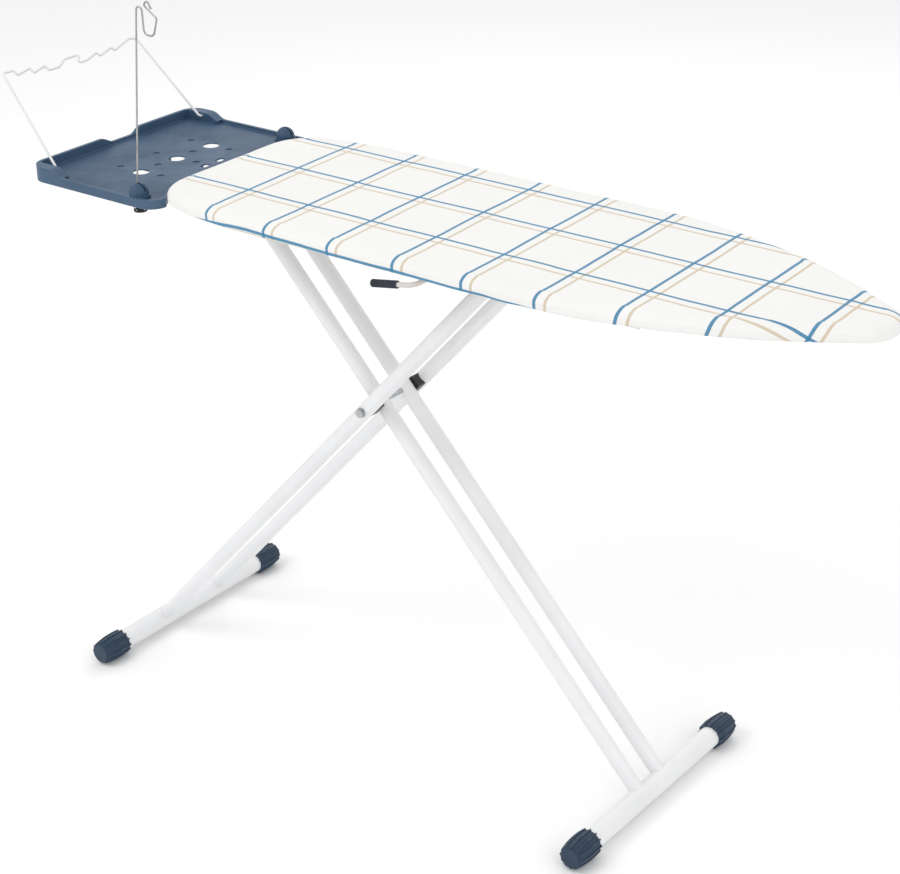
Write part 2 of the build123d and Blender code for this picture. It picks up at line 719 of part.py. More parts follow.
def dome_socket(sign):
    """Slotted dome that holds the foot of the cable guide."""
    centre = point(dome_x, sign * dome_y, 0)
    with BuildPart() as dome:
        with BuildSketch(Plane(origin=centre, x_dir=(1, 0, 0), z_dir=(0, -1, 0))):
            with BuildLine():
                Polyline((0, 2), (0, tray_rim + 0.2), (dome_radius, tray_rim + 0.2),
                         (dome_radius, tray_rim + 3))
                EllipticalCenterArc((0, tray_rim + 3), dome_radius, 2 - tray_rim - 3, start_angle=0,
                                    arc_size=90)
            make_face()
        revolve(axis=Axis(centre, (0, 0, 1)))
        # slot for the wire, open to the top and the front
        with BuildSketch(side(sign * dome_y)):
            with BuildLine():
                Polyline((post_x - 2.6, 5), (post_x - 2.6, -post_drop - 2.4), (post_x + 6, -post_drop - 2.4),
                         (dome_x + 20, -post_drop + 1.2), (dome_x + 20, 5), (post_x - 2.6, 5))
            make_face()
        extrude(amount=2.2, both=True, mode=Mode.SUBTRACT)
        with BuildSketch(side(sign * dome_y + 5.4)):
            with Locations((dome_x + 12, 0)):
                Rectangle(14.0, 20.0)
        extrude(amount=1.1, both=True, mode=Mode.SUBTRACT)
        add(bar_across(post_x, -post_drop, post_wire + running, sign * dome_y - 5, sign * dome_y + 5),
            mode=Mode.SUBTRACT)
    return dome


def dome_clip(sign):
    """Snap-in cage under a dome: four legs joined by a ring, with a prong in the middle."""
    centre = point(dome_x, sign * dome_y, 0)
    cage_bottom = tray_bottom - 12.5
    with BuildPart() as clip:
        with BuildSketch(level(cage_bottom)):
            with Locations((dome_x, sign * dome_y)):
                Circle(clip_radius)
                Circle(clip_radius - 2.4, mode=Mode.SUBTRACT)
        extrude(amount=tray_rim + 0.2 - cage_bottom)
        for turn in (0, 90):
            with BuildSketch(Plane(origin=centre + Vector(0, 0, cage_bottom + 2.4), z_dir=(0, 0, 1)
                                   ).rotated((0, 0, turn))):
                Rectangle(40.0, 13.6)
            extrude(amount=10.4, mode=Mode.SUBTRACT)
        with BuildSketch(level(cage_bottom)):
            with Locations((dome_x, sign * dome_y)):
                Rectangle(2 * clip_radius - 3, 2.4)
                Rectangle(2.4, 2 * clip_radius - 3)
                Circle(2.2)
        extrude(amount=2.4)
        with BuildSketch(level(cage_bottom - 2.5)):
            with Locations((dome_x, sign * dome_y)):
                Circle(2.0)
        extrude(amount=2.5)
        with BuildSketch(level(tray_bottom - 1.8)):
            with Locations((dome_x, sign * dome_y)):
                Circle(clip_radius + 1.4)
                Circle(clip_radius - 1, mode=Mode.SUBTRACT)
        extrude(amount=1.2)
    return clip


for name, sign in (("near", -1), ("far", 1)):
    save(dome_socket(sign), f"{name}_dome")
    save(dome_clip(sign), f"{name}_dome_clip")

# Steel wire that keeps the iron's cable up; it leans 6 degrees towards the board.
# Points: distance from the rear edge and height over the ironing surface.
post_path = [(post_x, -post_drop), (2.7, 294.0), (14.2, 294.0), (15.5, 251.5), (36.2, 251.5),
             (45.7, 281.0), (18.2, 298.5), (27.2, 307.0), (34.7, 294.0)]
post_radii = [5.6, 5.6, 9.0, 10.0, 4.0, 3.6, 3.6]

with BuildPart() as cable_post:
    add(bent_wire([point(x, -dome_y, z) for x, z in post_path], post_radii, post_wire))
    add(bar_across(post_x, -post_drop, post_wire, -dome_y - 4.5, -dome_y + 4.5))
save(cable_post, "cable_post")
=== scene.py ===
import json
from math import cos, hypot, pi, radians, sin

import bmesh
import bpy
from mathutils import Matrix, Vector, noise


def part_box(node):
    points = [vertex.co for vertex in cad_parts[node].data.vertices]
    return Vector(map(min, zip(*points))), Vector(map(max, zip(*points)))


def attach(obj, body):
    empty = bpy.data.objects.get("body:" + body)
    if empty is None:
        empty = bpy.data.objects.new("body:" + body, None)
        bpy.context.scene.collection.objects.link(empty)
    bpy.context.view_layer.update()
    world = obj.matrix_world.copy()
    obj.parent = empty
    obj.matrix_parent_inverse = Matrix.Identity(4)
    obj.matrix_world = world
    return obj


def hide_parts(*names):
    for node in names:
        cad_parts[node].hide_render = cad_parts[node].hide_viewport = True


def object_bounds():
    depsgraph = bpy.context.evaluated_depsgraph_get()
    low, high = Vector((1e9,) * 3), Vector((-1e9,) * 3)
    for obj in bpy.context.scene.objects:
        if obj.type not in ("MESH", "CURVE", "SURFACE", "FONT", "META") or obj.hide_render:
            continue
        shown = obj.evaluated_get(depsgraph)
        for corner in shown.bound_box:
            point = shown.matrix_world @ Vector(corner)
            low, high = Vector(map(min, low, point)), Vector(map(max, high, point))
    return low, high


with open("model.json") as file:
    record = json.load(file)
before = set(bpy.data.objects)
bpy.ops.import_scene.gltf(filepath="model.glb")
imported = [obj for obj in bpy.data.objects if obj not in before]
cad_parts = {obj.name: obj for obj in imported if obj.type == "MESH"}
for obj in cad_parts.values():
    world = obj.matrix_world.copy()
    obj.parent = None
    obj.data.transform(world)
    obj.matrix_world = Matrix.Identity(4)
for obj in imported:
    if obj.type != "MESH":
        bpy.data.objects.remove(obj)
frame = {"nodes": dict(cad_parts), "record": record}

cad_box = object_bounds()
nodes = frame["nodes"]
MM = 0.001

# ---------------------------------------------------------------- the board's plan, in mm
# X is measured from the rear edge and z from the ironing surface.
cover_low, cover_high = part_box("cotton_cover")
REAR_X = cover_low[0]
TOP_Z = cover_high[2]
HALF_WIDTH = cover_high[1] / MM
SIDE_START, SIDE_END = 230.0, 700.0
FLANK_R, FLANK_A = 763.0, radians(12.0)
TAPER_R, TAPER_A = 870.0, radians(31.0)
NOSE_R = 60.0
FLANK_X = SIDE_START - FLANK_R * sin(FLANK_A)
FLANK_Y = HALF_WIDTH - FLANK_R * (1 - cos(FLANK_A))
CORNER_R = FLANK_X / (1 - sin(FLANK_A))
CORNER_Y = FLANK_Y - CORNER_R * cos(FLANK_A)
TAPER_X = SIDE_END + TAPER_R * sin(TAPER_A)
TAPER_Y = HALF_WIDTH - TAPER_R * (1 - cos(TAPER_A))
NOSE_X = TAPER_X + (TAPER_Y * cos(TAPER_A) - NOSE_R) / sin(TAPER_A)


def place(x, y, z):
    """World position, in metres, of a point given in mm from the rear edge and the ironing surface."""
    return Vector((REAR_X + x * MM, y * MM, TOP_Z + z * MM))


def line(start, end, angle, step):
    """Points along a straight side with its outward angle."""
    count = max(1, round(hypot(end[0] - start[0], end[1] - start[1]) / step))
    return [(start[0] + (end[0] - start[0]) * i / count, start[1] + (end[1] - start[1]) * i / count, angle)
            for i in range(count)]


def arc(centre, radius, start, end, step):
    """Points along an arc with their outward angles."""
    count = max(4, round(abs(end - start) * radius / step))
    turns = [start + (end - start) * i / count for i in range(count)]
    return [(centre[0] + radius * cos(t), centre[1] + radius * sin(t), t) for t in turns]


CORNER_STEP, NOSE_STEP = 3.5, 3.0     # longest steps along the tight corners and the nose


def outline(step):
    """Closed outline of the board as (x, y, outward angle), from the middle of the rear edge round
    the far side."""
    right = pi / 2
    nose_tangent = (NOSE_X + NOSE_R * cos(right - TAPER_A), NOSE_R * sin(right - TAPER_A))
    half = line((0, 0), (0, CORNER_Y), pi, step)
    half += arc((CORNER_R, CORNER_Y), CORNER_R, pi, right + FLANK_A, min(step, CORNER_STEP))
    half += arc((SIDE_START, HALF_WIDTH - FLANK_R), FLANK_R, right + FLANK_A, right, step)
    half += line((SIDE_START, HALF_WIDTH), (SIDE_END, HALF_WIDTH), right, step)
    half += arc((SIDE_END, HALF_WIDTH - TAPER_R), TAPER_R, right, right - TAPER_A, step)
    half += line((TAPER_X, TAPER_Y), nose_tangent, right - TAPER_A, step)
    half += arc((NOSE_X, 0), NOSE_R, right - TAPER_A, 0, min(step, NOSE_STEP))
    tip = [(NOSE_X + NOSE_R, 0.0, 0.0)]
    return half + tip + [(x, -y, -t) for x, y, t in reversed(half[1:])]


SPINE_START, SPINE_END = 150.0, 1060.0
BAND = 45.0                # the outer band, where rings follow the outline
INNER_RUN = -BAND - 200    # marks the rings inside the band, whose cloth lies at its plan position


def ring_point(sample, inset):
    """Plan position inset from the outline; past the band it heads for the board's middle line."""
    x, y, t = sample
    edge = min(inset, BAND)
    x, y = x - cos(t) * edge, y - sin(t) * edge
    if inset > BAND:
        spine = min(max(sample[0], SPINE_START), SPINE_END)
        share = min(1.0, (inset - BAND) / (HALF_WIDTH - BAND))
        x, y = x + (spine - x) * share, y * (1 - share)
    return x, y


REAR_GATHER_END, REAR_FADE = 20.0, 90.0      # where the rear corners' gathers start to fade, and over what
CORNER_LEAD, GATHER_FADE, NOSE_LEAD = 55.0, 60.0, 30.0


def corner_share(sample):
    """1 round the tight corners and the nose, where cloth has to gather, and 0 along the sides."""
    x = sample[0]
    rear = max(0.0, 1 - max(0.0, x - REAR_GATHER_END) / REAR_FADE)
    rear *= min(1.0, max(0.0, (abs(sample[1]) - CORNER_Y + CORNER_LEAD) / GATHER_FADE))
    nose = min(1.0, max(0.0, (x - NOSE_X + NOSE_LEAD) / GATHER_FADE))
    return max(rear, nose)


def wave(x, y, size, seed):
    """Smooth noise between about -1 and 1 with bumps of a given size in mm."""
    return 1.7 * noise.noise(Vector((x / size + seed, y / size - seed, seed * 0.37)))


def build(name, verts, faces, cloth=None):
    """Mesh object from plain lists, smooth shaded, with the flat cloth's own coordinates if given."""
    mesh = bpy.data.meshes.new(name)
    mesh.from_pydata(verts, [], faces)
    if cloth:
        layer = mesh.attributes.new("cloth", "FLOAT_VECTOR", "POINT")
        for i, value in enumerate(cloth):
            layer.data[i].vector = value
    work = bmesh.new()
    work.from_mesh(mesh)
    bmesh.ops.remove_doubles(work, verts=work.verts, dist=1e-6)
    bmesh.ops.recalc_face_normals(work, faces=work.faces)
    work.to_mesh(mesh)
    work.free()
    mesh.polygons.foreach_set("use_smooth", [True] * len(mesh.polygons))
    piece = bpy.data.objects.new(name, mesh)
    bpy.context.scene.collection.objects.link(piece)
    return piece


def rings(name, samples, profile, shape):
    """Sheet or slab built as rings round the board. profile is a list of (inset, z, run), where run is
    how far along the cloth the ring lies outside the plan; shape moves each point."""
    verts, cloth, faces = [], [], []
    for inset, z, run in profile:
        for i, sample in enumerate(samples):
            x, y = ring_point(sample, inset)
            verts.append(place(*shape(sample, x, y, z, run)))
            if run > -BAND:
                x = sample[0] + cos(sample[2]) * run
                y = sample[1] + sin(sample[2]) * run
            cloth.append((x, y, 0.0))
    count = len(samples)
    for here in range(0, (len(profile) - 1) * count, count):
        for i in range(count):
            j = (i + 1) % count
            faces.append((here + i, here + j, here + count + j, here + count + i))
    return build(name, verts, faces, cloth)


# ---------------------------------------------------------------- cotton cover
EDGE_WIDE, EDGE_DEEP = 24.0, 12.0     # the rounded shoulder of the padded edge
SKIRT_LOW = -18.5                     # where the skirt starts to turn in
TURN_R = 4.5                          # round the rim's lower edge
HEM_INSET = 42.0                      # how far in under the frame the hem's casing lies
CASING_R = 2.6
CASING_TURN = 1.75 * pi               # how far round the casing is rolled


def cover_profile():
    """Rings of the cover from the middle of the top, over the edge and in under the frame."""
    points = [(HALF_WIDTH - (HALF_WIDTH - BAND) * i / 20, 0.0) for i in range(20)]
    points += [(BAND - (BAND - EDGE_WIDE) * i / 5, 0.0) for i in range(5)]
    for i in range(15):
        t = pi / 2 * i / 14
        points.append((EDGE_WIDE * (1 - sin(t)), -EDGE_DEEP * (1 - cos(t))))
    points += [(0.0, -EDGE_DEEP + (SKIRT_LOW + EDGE_DEEP) * i / 3) for i in range(1, 4)]
    for i in range(1, 6):
        t = pi / 2 * i / 5
        points.append((TURN_R * (1 - cos(t)), SKIRT_LOW - TURN_R * sin(t)))
    points += [(TURN_R + (HEM_INSET - TURN_R) * i / 8, SKIRT_LOW - TURN_R) for i in range(1, 9)]
    for i in range(1, 10):
        t = CASING_TURN * i / 9
        points.append((HEM_INSET + CASING_R * sin(t), SKIRT_LOW - TURN_R + CASING_R * (1 - cos(t))))
    profile = []
    run = INNER_RUN
    for i, (inset, z) in enumerate(points):
        if i and inset < BAND:
            before = points[i - 1]
            run = max(run, -before[0]) + hypot(inset - before[0], z - before[1])
        profile.append((inset, z, run if inset < BAND else INNER_RUN))
    return profile


SKIRT_FULL = 34.0                     # cloth below the shoulder's start, where the skirt's folds are full
UNDER_START, UNDER_FULL = 18.0, 22.0  # where the cloth turns in under the rim, and its gathers are full
SLACK_START, SLACK_FADE, SLACK_END = 640.0, 90.0, 1130.0     # looser folds along the taper
PLEAT = 12.0                          # from pleat to pleat round a gathered corner


def cover_shape(sample, x, y, z, run):
    """Soft unevenness of the cloth: faint on the top, fuller on the skirt, gathered at the hem."""
    angle = sample[2]
    gather = corner_share(sample)
    along = sample[0] if abs(sample[1]) > 60 else sample[1] + 2000 * (sample[0] > 600)
    if run <= -EDGE_WIDE:
        near_edge = max(0.0, 1 + (run + EDGE_WIDE) / 60) if run > -BAND - 1 else 0.0
        lift = 0.30 * wave(x, y, 95, 3) + 0.16 * wave(x, y, 28, 5)
        lift += near_edge * (0.35 * wave(x, y, 38, 7) + 0.25 * gather * wave(x, y, 12, 9))
        return x, y, z - 0.35 + lift
    down = min(1.0, (run + EDGE_WIDE) / SKIRT_FULL)
    under = min(1.0, max(0.0, (run - UNDER_START) / UNDER_FULL))
    full = 1.0 + 1.3 * min(1.0, max(0.0, (sample[0] - SLACK_START) / SLACK_FADE)) * (sample[0] < SLACK_END)
    out = -0.5 + down * 0.85 * full * wave(along, run * 1.1 + 500 * (y > 0), 52, 11)
    out += down * 0.30 * wave(along, run * 2 + 700 * (y > 0), 17, 13)
    pleat = sin(angle * NOSE_R / PLEAT * 2 * pi + 2.2 * wave(x, y, 30, 15))
    out += gather * (0.25 * down + 1.1 * under) * pleat * (1 - under)
    drop = under * (gather * 1.9 * pleat + 0.7 * wave(along, y * 0.2, 14, 17) + 0.5 * wave(x, y, 9, 19))
    sag = 0.6 * under * max(0.0, wave(along, y, 60, 21))
    return x + cos(angle) * out, y + sin(angle) * out, z + drop - sag + 0.4


COVER_STEP, COVER_THICK = 4.0, 0.8
cover_samples = outline(COVER_STEP)
cover = rings("cover", cover_samples, cover_profile(), cover_shape)
thick = cover.modifiers.new("thickness", "SOLIDIFY")
thick.thickness = COVER_THICK * MM
thick.offset = -1
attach(cover, "board")
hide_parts("cotton_cover")


STITCH_STEP, THREAD_SIDES = 3.6, 6
THREAD_R, THREAD_END_R = 0.32, 0.15   # in the middle of a stitch and where it dips into the cloth
SEAM_INSET = HEM_INSET - 5.0
SEAM_RUN = 30.0 + SEAM_INSET - TURN_R


def hem_stitches():
    """Row of thread stitches that closes the hem's casing, as one mesh."""
    verts, faces = [], []
    samples = outline(STITCH_STEP)
    count = len(samples)
    for i in range(count):
        ends = []
        for share in (0.14, 0.38, 0.62, 0.86):
            a, b = samples[i], samples[(i + 1) % count]
            ax, ay = ring_point(a, SEAM_INSET)
            bx, by = ring_point(b, SEAM_INSET)
            pa = Vector(cover_shape(a, ax, ay, SKIRT_LOW - TURN_R, SEAM_RUN))
            pb = Vector(cover_shape(b, bx, by, SKIRT_LOW - TURN_R, SEAM_RUN))
            ends.append(pa.lerp(pb, share))
        side = Vector((cos(samples[i][2]), sin(samples[i][2]), 0))
        start = len(verts)
        for k, mid in enumerate(ends):
            radius = THREAD_R if k in (1, 2) else THREAD_END_R
            for j in range(THREAD_SIDES):
                t = 2 * pi * j / THREAD_SIDES
                offset = side * (radius * cos(t)) + Vector((0, 0, radius * sin(t) - THREAD_END_R))
                verts.append(place(*(mid + offset)))
        last = start + (len(ends) - 1) * THREAD_SIDES
        for here in range(start, last, THREAD_SIDES):
            for j in range(THREAD_SIDES):
                n = (j + 1) % THREAD_SIDES
                faces.append((here + j, here + n, here + THREAD_SIDES + n, here + THREAD_SIDES + j))
        faces.append(tuple(start + j for j in range(THREAD_SIDES)))
        faces.append(tuple(last + j for j in range(THREAD_SIDES)))
    return build("hem_stitches", verts, faces)


stitches = hem_stitches()
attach(stitches, "board")

# The flat cut is the plan grown by the cloth that goes over the edge and under.
overhang = cover_profile()[-1][2]

# ---------------------------------------------------------------- foam pad under the cover
PAD_GAP, PAD_LOW = 1.9, -7.4          # below the cover's top, and the pad's underside
PAD_STEP, PAD_LIP = 7.0, 0.6          # PAD_LIP is the height of the rounded lower corner


def pad_profile():
    """Rings of the pad: top, shoulder under the cover's, underside."""
    inner = [HALF_WIDTH - (HALF_WIDTH - BAND) * i / 14 for i in range(14)]
    inner += [BAND - (BAND - EDGE_WIDE - 2) * i / 3 for i in range(3)]
    points = [(inset, -PAD_GAP) for inset in inner]
    for i in range(9):
        inset = EDGE_WIDE * (1 - i / 10)
        depth = EDGE_DEEP * (1 - (1 - (1 - inset / EDGE_WIDE) ** 2) ** 0.5)
        if depth + PAD_GAP < -PAD_LOW - PAD_LIP:
            points.append((inset + 1.0, -depth - PAD_GAP))
    edge = points[-1][0]
    points += [(edge - 0.8, PAD_LOW + 0.5), (edge - 0.2, PAD_LOW)]
    points += [(inset, PAD_LOW) for inset in reversed(inner)]
    return [(inset, z, INNER_RUN) for inset, z in points]


def pad_shape(sample, x, y, z, run):
    """Slight lumps of cut foam; the underside presses a little into the panel's openings."""
    if z < PAD_LOW + PAD_LIP:
        return x, y, z + 0.12 * wave(x, y, 14, 31)
    return x, y, z + 0.2 * wave(x, y, 60, 33) - 0.2


pad = rings("pad", outline(PAD_STEP), pad_profile(), pad_shape)
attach(pad, "board")
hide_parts("foam_pad")


# ---------------------------------------------------------------- materials
def shader(name, colour, rough, metallic=0.0, shine=0.5):
    """New material with a Principled shader; returns its tree, shader and object coordinates."""
    material = bpy.data.materials.new(name)
    material.use_nodes = True
    tree = material.node_tree
    principled = tree.nodes["Principled BSDF"]
    principled.inputs["Base Color"].default_value = (*colour, 1)
    principled.inputs["Roughness"].default_value = rough
    principled.inputs["Metallic"].default_value = metallic
    principled.inputs["Specular IOR Level"].default_value = shine
    coordinates = tree.nodes.new("ShaderNodeTexCoord").outputs["Object"]
    return material, tree, principled, coordinates


def math(tree, operation, *values, clamp=False):
    """Math node; values are numbers or sockets."""
    node = tree.nodes.new("ShaderNodeMath")
    node.operation = operation
    node.use_clamp = clamp
    for i, value in enumerate(values):
        if isinstance(value, bpy.types.NodeSocket):
            tree.links.new(value, node.inputs[i])
        else:
            node.inputs[i].default_value = value
    return node.outputs[0]


def mix(tree, factor, first, second):
    """Colour mix; first and second are colours or sockets."""
    node = tree.nodes.new("ShaderNodeMix")
    node.data_type = "RGBA"
    tree.links.new(factor, node.inputs["Factor"])
    for socket, value in ((node.inputs[6], first), (node.inputs[7], second)):
        if isinstance(value, bpy.types.NodeSocket):
            tree.links.new(value, socket)
        else:
            socket.default_value = (*value, 1)
    return node.outputs[2]


def noise_of(tree, coordinates, scale, detail=2.0, stretch=(1, 1, 1), rough=0.5):
    """Noise texture, with its coordinates stretched along the axes if asked."""
    mapping = tree.nodes.new("ShaderNodeMapping")
    mapping.inputs["Scale"].default_value = stretch
    tree.links.new(coordinates, mapping.inputs["Vector"])
    node = tree.nodes.new("ShaderNodeTexNoise")
    node.inputs["Scale"].default_value = scale
    node.inputs["Detail"].default_value = detail
    node.inputs["Roughness"].default_value = rough
    tree.links.new(mapping.outputs[0], node.inputs["Vector"])
    return node.outputs["Fac"]


def remap(tree, value, low, high, to_low, to_high):
    """Value moved from one range to another, held inside it."""
    node = tree.nodes.new("ShaderNodeMapRange")
    tree.links.new(value, node.inputs["Value"])
    for name, number in (("From Min", low), ("From Max", high), ("To Min", to_low), ("To Max", to_high)):
        node.inputs[name].default_value = number
    return node.outputs[0]


def bump(tree, principled, height, strength, distance, under=None):
    """Bump on the shader's normal, on top of an earlier bump if given."""
    node = tree.nodes.new("ShaderNodeBump")
    node.inputs["Strength"].default_value = strength
    node.inputs["Distance"].default_value = distance
    tree.links.new(height, node.inputs["Height"])
    if under:
        tree.links.new(under, node.inputs["Normal"])
    tree.links.new(node.outputs[0], principled.inputs["Normal"])
    return node.outputs[0]


def edge_wear(tree, low, high):
    """1 on sharp outward edges, 0 elsewhere."""
    geometry = tree.nodes.new("ShaderNodeNewGeometry")
    return remap(tree, geometry.outputs["Pointiness"], low, high, 0, 1)


CHECK, PAIR_GAP = 126.0, 17.6                  # from line to line, and from a blue line to its beige one, in mm
BLUE_WIDE, BEIGE_WIDE, LINE_BLUR = 5.3, 4.5, 0.35
FIRST_CROSS, FIRST_LONG, SHEAR = 129.8, 155.4, 0.037
SKIRT_OUT, SKIRT_IN = -214.0, -208.0           # across the board, where the near skirt's cloth starts
SKIRT_SHIFT, SKIRT_DRIFT, DRIFT_START = 7.0, 0.010, 60.0     # the cloth is pulled down more towards the nose
HEM_SHIFT = 11.1                               # the beige line is drawn up onto the skirt's lower edge
YARN = 0.9                                     # from thread to thread of the weave


def cotton_material():
    """White cotton with a woven check of blue and beige lines, and a plain weave."""
    white, blue, beige = (0.81, 0.806, 0.79), (0.026, 0.195, 0.36), (0.60, 0.50, 0.37)
    material, tree, principled, coordinates = shader("cotton_check", white, 0.85)
    cloth = tree.nodes.new("ShaderNodeAttribute")
    cloth.attribute_name = "cloth"
    split = tree.nodes.new("ShaderNodeSeparateXYZ")
    wobble = noise_of(tree, coordinates, 9.0, 1.0)
    tree.links.new(cloth.outputs["Vector"], split.inputs[0])
    along = math(tree, "ADD", split.outputs[0], remap(tree, wobble, 0.3, 0.7, -1.0, 1.0))
    across = math(tree, "ADD", split.outputs[1], remap(tree, wobble, 0.3, 0.7, 1.0, -1.0))
    from_first = math(tree, "SUBTRACT", across, FIRST_LONG)
    slant = math(tree, "MULTIPLY", from_first, SHEAR)
    cross = math(tree, "SUBTRACT", math(tree, "ADD", along, slant), FIRST_CROSS)
    drawn = math(tree, "MAXIMUM", math(tree, "SUBTRACT", along, DRIFT_START), 0.0)
    drift = math(tree, "SUBTRACT", math(tree, "MULTIPLY", drawn, SKIRT_DRIFT), SKIRT_SHIFT)
    outside = remap(tree, across, SKIRT_OUT, SKIRT_IN, 1.0, 0.0)
    long = math(tree, "ADD", from_first, math(tree, "MULTIPLY", drift, outside))

    def stripes(position, offset, width):
        """1 on lines that repeat once a check."""
        phase = math(tree, "FLOORED_MODULO", math(tree, "SUBTRACT", position, offset - CHECK / 2), CHECK)
        away = math(tree, "ABSOLUTE", math(tree, "SUBTRACT", phase, CHECK / 2))
        return remap(tree, away, width / 2 - LINE_BLUR, width / 2 + LINE_BLUR, 1, 0)

    on_board = math(tree, "GREATER_THAN", cross, -60.0)
    blue_cross = math(tree, "MULTIPLY", stripes(cross, 0.0, BLUE_WIDE), on_board)
    beige_cross = math(tree, "MULTIPLY", stripes(cross, PAIR_GAP, BEIGE_WIDE), on_board)
    blue_long = stripes(long, 0.0, BLUE_WIDE)
    hem_line = math(tree, "SUBTRACT", long, math(tree, "MULTIPLY", outside, HEM_SHIFT))
    beige_long = stripes(hem_line, -PAIR_GAP, BEIGE_WIDE)
    thread = 2 * pi / YARN
    warp = math(tree, "SINE", math(tree, "MULTIPLY", along, thread))
    weft = math(tree, "SINE", math(tree, "MULTIPLY", across, thread))
    weave = math(tree, "MULTIPLY", warp, weft)
    cover_up = remap(tree, weave, -1, 1, 0.86, 1.0)
    tint = noise_of(tree, coordinates, 3.5, 4.0)
    ground = mix(tree, remap(tree, tint, 0.35, 0.65, 0, 1), white, (0.785, 0.78, 0.76))
    slub = noise_of(tree, coordinates, 600.0, 2.0, (0.12, 1, 1))
    ground = mix(tree, remap(tree, slub, 0.55, 0.75, 0, 0.35), ground, (0.76, 0.755, 0.73))
    colour = mix(tree, math(tree, "MULTIPLY", beige_long, cover_up), ground, beige)
    colour = mix(tree, math(tree, "MULTIPLY", beige_cross, cover_up), colour, beige)
    colour = mix(tree, math(tree, "MULTIPLY", blue_long, cover_up), colour, blue)
    colour = mix(tree, math(tree, "MULTIPLY", blue_cross, cover_up), colour, blue)
    tree.links.new(colour, principled.inputs["Base Color"])
    tree.links.new(remap(tree, slub, 0.3, 0.7, 0.78, 0.92), principled.inputs["Roughness"])
    principled.inputs["Sheen Weight"].default_value = 0.08
    principled.inputs["Sheen Roughness"].default_value = 0.5
    crease = noise_of(tree, coordinates, 22.0, 5.0, (1, 0.6, 1), 0.55)
    soft = bump(tree, principled, crease, 0.35, 0.0012)
    bump(tree, principled, weave, 0.25, 0.00015, soft)
    return material


def thread_material():
    """White sewing thread with a twist."""
    material, tree, principled, coordinates = shader("thread", (0.86, 0.85, 0.82), 0.7)
    twist = noise_of(tree, coordinates, 2500.0, 1.0, (1, 1, 3))
    tint = mix(tree, twist, (0.88, 0.87, 0.84), (0.74, 0.73, 0.70))
    tree.links.new(tint, principled.inputs["Base Color"])
    bump(tree, principled, twist, 0.5, 0.0002)
    return material


def foam_material():
    """Off-white open foam, pitted, with painted shade darkening the pits."""
    material, tree, principled, coordinates = shader("foam", (0.80, 0.77, 0.68), 0.95)
    cells = tree.nodes.new("ShaderNodeTexVoronoi")
    cells.inputs["Scale"].default_value = 700.0
    tree.links.new(coordinates, cells.inputs["Vector"])
    pits = remap(tree, cells.outputs["Distance"], 0.1, 0.6, 0, 1)
    patch = noise_of(tree, coordinates, 12.0, 3.0)
    colour = mix(tree, patch, (0.82, 0.79, 0.70), (0.72, 0.69, 0.60))
    # painted shade: the pits' centres are darkened towards grey-brown, as shade in the hollows
    colour = mix(tree, remap(tree, pits, 0, 1, 0.25, 0), colour, (0.45, 0.42, 0.36))
    tree.links.new(colour, principled.inputs["Base Color"])
    bump(tree, principled, pits, 0.6, 0.0006)
    return material


def powder_coat(name, colour, rough):
    """Powder-coated steel: fine orange peel, faint handling marks, worn edges."""
    material, tree, principled, coordinates = shader(name, colour, rough)
    peel = noise_of(tree, coordinates, 520.0, 2.0)
    marks = noise_of(tree, coordinates, 7.0, 6.0, (1, 1, 1), 0.62)
    scuff = noise_of(tree, coordinates, 60.0, 4.0, (1, 5, 1), 0.6)
    darker = tuple(0.93 * c for c in colour)
    tone = mix(tree, remap(tree, marks, 0.42, 0.68, 0, 1), colour, darker)
    grey = tuple(0.72 * c for c in colour)
    tone = mix(tree, remap(tree, scuff, 0.68, 0.80, 0, 0.35), tone, grey)
    tone = mix(tree, math(tree, "MULTIPLY", edge_wear(tree, 0.56, 0.66), 0.25), tone, grey)
    tree.links.new(tone, principled.inputs["Base Color"])
    tree.links.new(remap(tree, marks, 0.3, 0.7, rough - 0.06, rough + 0.10), principled.inputs["Roughness"])
    bump(tree, principled, peel, 0.12, 0.0004)
    return material


def bare_metal(name, colour, rough, grain):
    """Plated or drawn steel: fine grain along one direction and dull spots."""
    material, tree, principled, coordinates = shader(name, colour, rough, 1.0)
    lines = noise_of(tree, coordinates, 900.0, 2.0, grain)
    spots = noise_of(tree, coordinates, 45.0, 5.0, (1, 1, 1), 0.6)
    dull = tuple(0.72 * c for c in colour)
    tone = mix(tree, remap(tree, spots, 0.45, 0.7, 0, 1), colour, dull)
    tree.links.new(tone, principled.inputs["Base Color"])
    worn = math(tree, "ADD", remap(tree, spots, 0.3, 0.7, rough - 0.08, rough + 0.1),
                remap(tree, lines, 0.3, 0.7, -0.04, 0.06))
    tree.links.new(worn, principled.inputs["Roughness"])
    bump(tree, principled, lines, 0.15, 0.0002)
    return material


def moulded(name, colour, rough, grain_size, worn_tone):
    """Injection-moulded plastic: eroded grain, soft mottling, paler rubbed edges."""
    material, tree, principled, coordinates = shader(name, colour, rough, shine=0.28)
    grain = noise_of(tree, coordinates, grain_size, 3.0, (1, 1, 1), 0.6)
    mottle = noise_of(tree, coordinates, 16.0, 5.0, (1, 1, 1), 0.55)
    scratch = noise_of(tree, coordinates, 120.0, 3.0, (1, 0.08, 1), 0.6)
    deeper = tuple(0.84 * c for c in colour)
    tone = mix(tree, remap(tree, mottle, 0.38, 0.66, 0, 1), colour, deeper)
    tone = mix(tree, remap(tree, scratch, 0.66, 0.78, 0, 0.25), tone, worn_tone)
    tone = mix(tree, math(tree, "MULTIPLY", edge_wear(tree, 0.53, 0.62), 0.45), tone, worn_tone)
    tree.links.new(tone, principled.inputs["Base Color"])
    tree.links.new(remap(tree, mottle, 0.3, 0.7, rough - 0.07, rough + 0.09), principled.inputs["Roughness"])
    bump(tree, principled, grain, 0.22, 0.0003)
    return material


